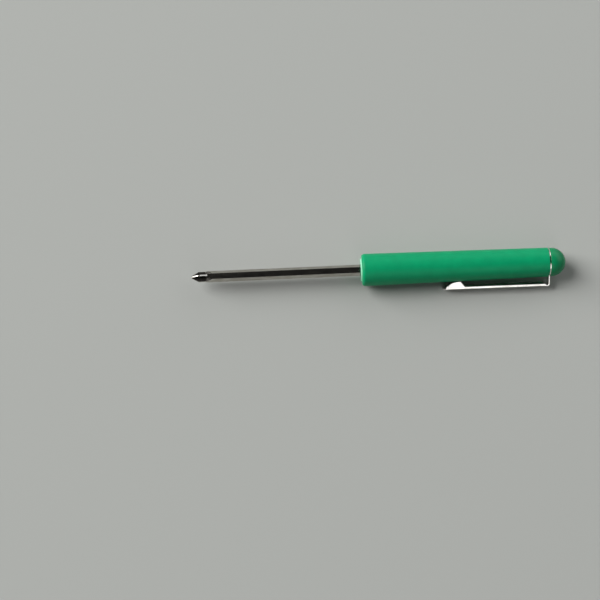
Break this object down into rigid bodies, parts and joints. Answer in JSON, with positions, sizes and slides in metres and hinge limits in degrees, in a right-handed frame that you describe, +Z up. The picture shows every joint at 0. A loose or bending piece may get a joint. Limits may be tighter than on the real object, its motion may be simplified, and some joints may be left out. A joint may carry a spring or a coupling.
{
  "type": "pocket screwdriver",
  "caption": "Slim pocket screwdriver: round tapered handle with a domed cap and a spring pocket clip, and a reversible hexagonal blade with Phillips and slotted tips.",
  "frame": {"origin": "under the middle of the bounding box, on the surface that the screwdriver lies on", "axes": "+X along the handle's axis from the working tip to the domed cap, +Z up, the clip on the -Y side"},
  "size_m": [0.1532, 0.016, 0.0133],
  "materials": {
    "handle_plastic": "moulded green plastic with a soft satin gloss",
    "cap_plastic": "moulded green plastic, glossier than the handle",
    "clip_steel": "bright nickel-plated spring steel sheet",
    "blade_steel": "bright nickel-plated drawn hexagonal steel bar with ground tips"
  },
  "bodies": {
    "handle": {"handle": "handle_plastic", "clip_ring": "clip_steel", "end_cap": "cap_plastic"},
    "blade": {"blade": "blade_steel"},
    "clip": {"clip_arm": "clip_steel"}
  },
  "joints": [
    {"name": "blade_slide", "type": "slide", "parent": "handle", "child": "blade", "axis": [-1, 0, 0], "range_m": [0, 0.042]},
    {"name": "clip_flex", "type": "hinge", "parent": "handle", "child": "clip", "pos_m": [0.06893, -0.00698, 0.00182], "axis": [0, -0.5008, 0.8656], "range_deg": [0, 4], "stiffness_Nm_per_rad": 1.2}
  ]
}
